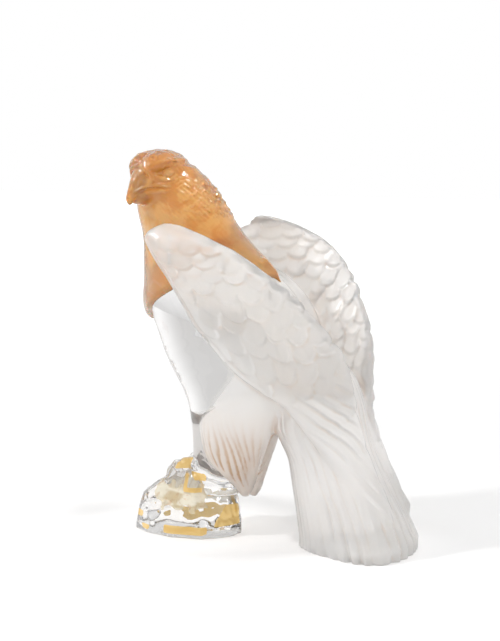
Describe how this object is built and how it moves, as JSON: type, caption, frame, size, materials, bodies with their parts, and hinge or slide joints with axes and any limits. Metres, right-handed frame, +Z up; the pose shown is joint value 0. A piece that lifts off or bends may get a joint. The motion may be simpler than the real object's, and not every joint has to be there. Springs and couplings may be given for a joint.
{
  "type": "crystal eagle sculpture",
  "caption": "Perched eagle in frosted and clear crystal with half-raised wings, an amber glass head and collar, a fanned tail that reaches the ground, and a clear faceted rock.",
  "frame": {"origin": "middle of the rock's flat underside, on the ground", "axes": "+Z up; the bird's breast faces -Y and its tail points to +Y; +X is the bird's left side"},
  "size_m": [0.1792, 0.2351, 0.301],
  "materials": {
    "crystal": "frosted cast crystal, polished clear on the breast and the rock",
    "amber": "polished translucent amber glass"
  },
  "bodies": {
    "root": {"eagle_body": "crystal", "eagle_head": "amber"}
  },
  "joints": []
}
